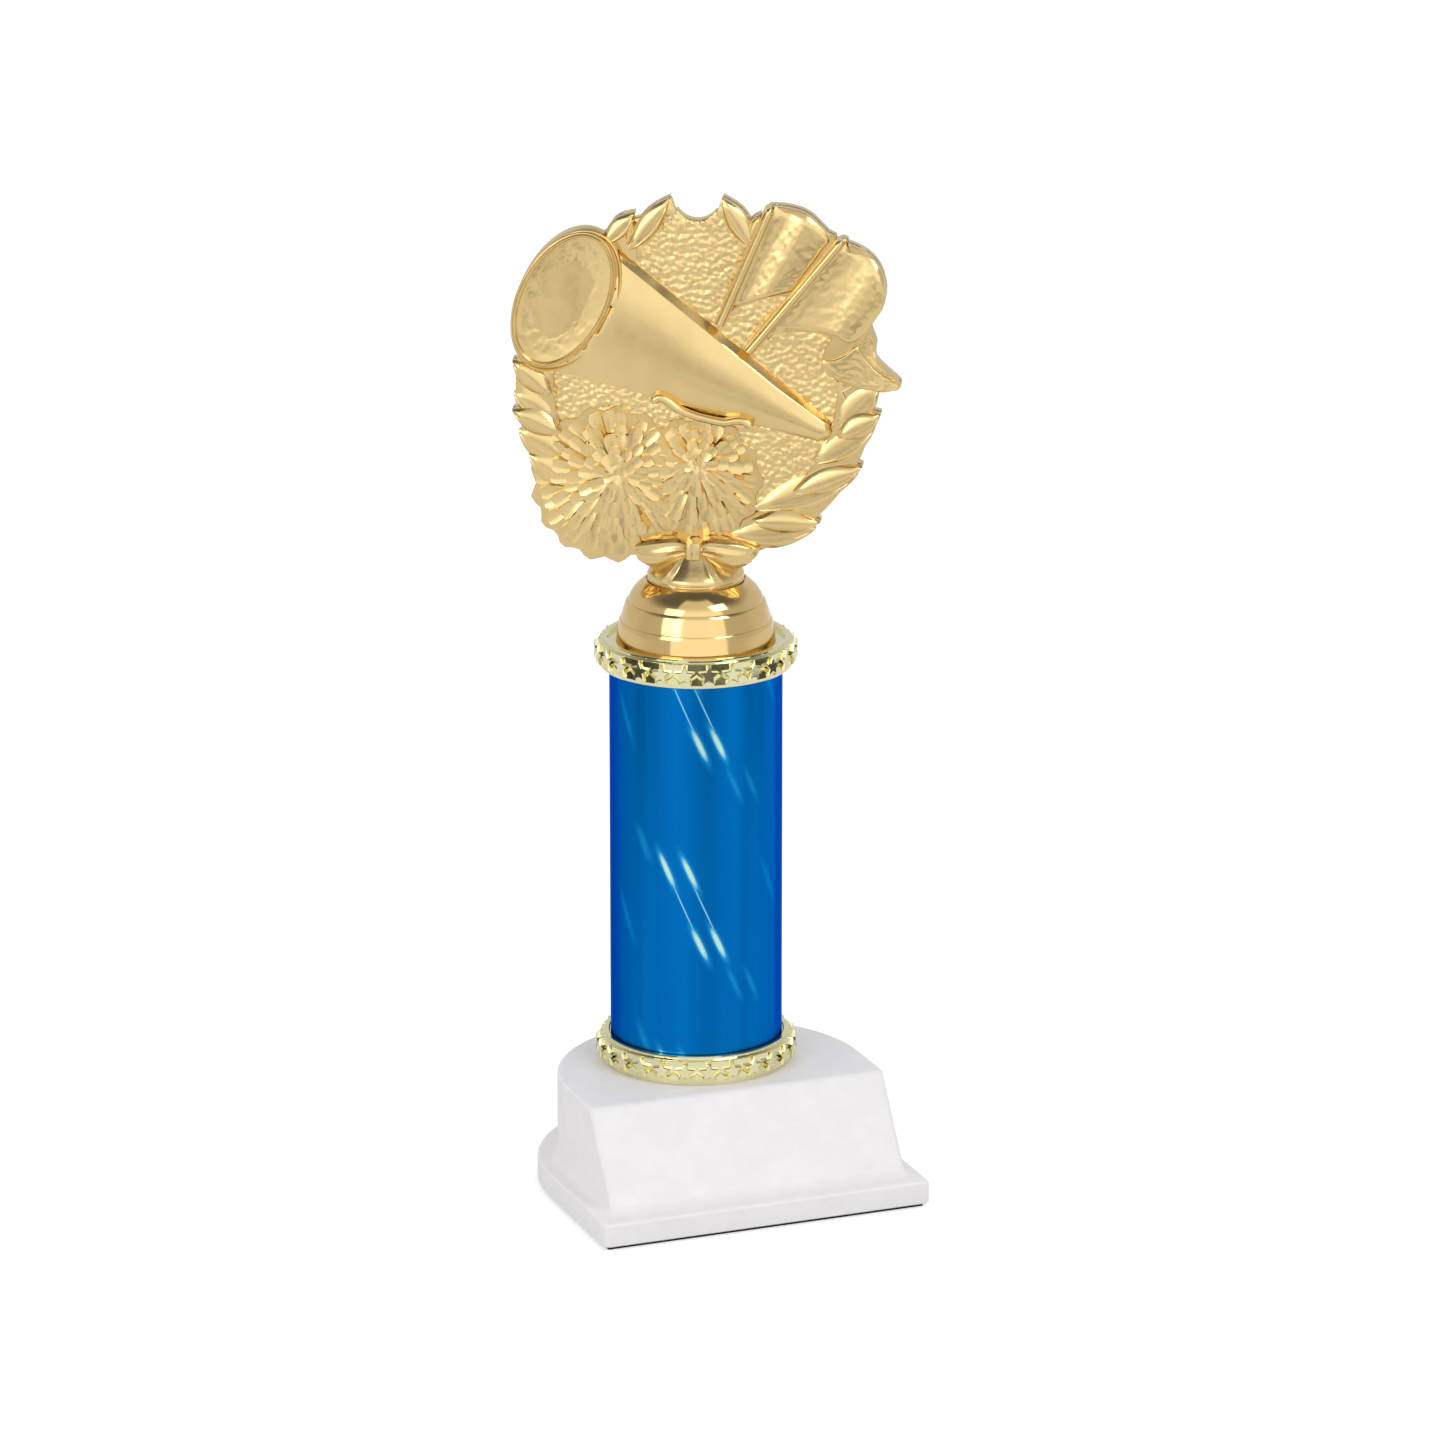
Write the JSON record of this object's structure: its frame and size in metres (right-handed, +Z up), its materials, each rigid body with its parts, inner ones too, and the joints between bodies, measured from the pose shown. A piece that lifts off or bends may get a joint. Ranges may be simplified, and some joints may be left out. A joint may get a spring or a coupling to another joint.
{
  "type": "cheerleading award figure on a column",
  "caption": "Gilt wreath figure with a cheer megaphone, pennants, pom-poms and a bow, on a riser, a film-covered tube column with star rings and a weighted base.",
  "frame": {"origin": "on the threaded rod's axis, at the underside of the felt", "axes": "+Z up along the rod and the column, -Y towards the base's sloping front, +X to the right when facing that front"},
  "size_m": [0.0936, 0.0863, 0.2591],
  "materials": {
    "base_white": "white, semi-matte, faintly mottled",
    "cast_weight": "as cast",
    "board": "pressed board",
    "felt": "felt",
    "ring_gold": "bright pale gilt, metallised",
    "core_white": "plain white tube",
    "blue_film": "metallic blue film with fine light streaks",
    "riser_gold": "bright gilt, metallised",
    "figure_gold": "gilt, metallised, satin to bright",
    "steel": "zinc plated"
  },
  "bodies": {
    "base": {"base_shell": "base_white", "base_weight": "cast_weight", "base_cover": "board", "felt_pad": "felt"},
    "column": {"lower_ring": "ring_gold", "column_core": "core_white", "column_wrap": "blue_film", "upper_ring": "ring_gold"},
    "figure": {"riser": "riser_gold", "figure_back": "figure_gold", "figure_front": "figure_gold", "wreath_left": "figure_gold", "wreath_right": "figure_gold", "megaphone": "figure_gold", "megaphone_handle": "figure_gold", "pole_left": "figure_gold", "pole_right": "figure_gold", "pennant_left": "figure_gold", "pennant_right": "figure_gold", "pompom_left": "figure_gold", "pompom_right": "figure_gold", "bow": "figure_gold", "figure_nut": "steel", "check_rod": "steel"},
    "washers": {"washer": "steel", "lock_washer": "steel"},
    "nut": {"lower_nut": "steel"}
  },
  "joints": [
    {"name": "column_turn", "type": "hinge", "parent": "base", "child": "column", "pos_m": [0, 0, 0.0308], "axis": [0, 0, 1], "continuous": true},
    {"name": "figure_turn", "type": "hinge", "parent": "column", "child": "figure", "pos_m": [0, 0, 0.1432], "axis": [0, 0, 1], "continuous": true},
    {"name": "washer_drop", "type": "slide", "parent": "base", "child": "washers", "axis": [0, 0, -1], "range_m": [0, 0.0032]},
    {"name": "nut_turn", "type": "hinge", "parent": "washers", "child": "nut", "pos_m": [0, 0, 0.0102], "axis": [0, 0, -1], "range_deg": [0, 1080]}
  ],
  "couplings": [
    {"joint": "washer_drop", "follows": "nut_turn", "m_per_rad": 0.00016844}
  ]
}
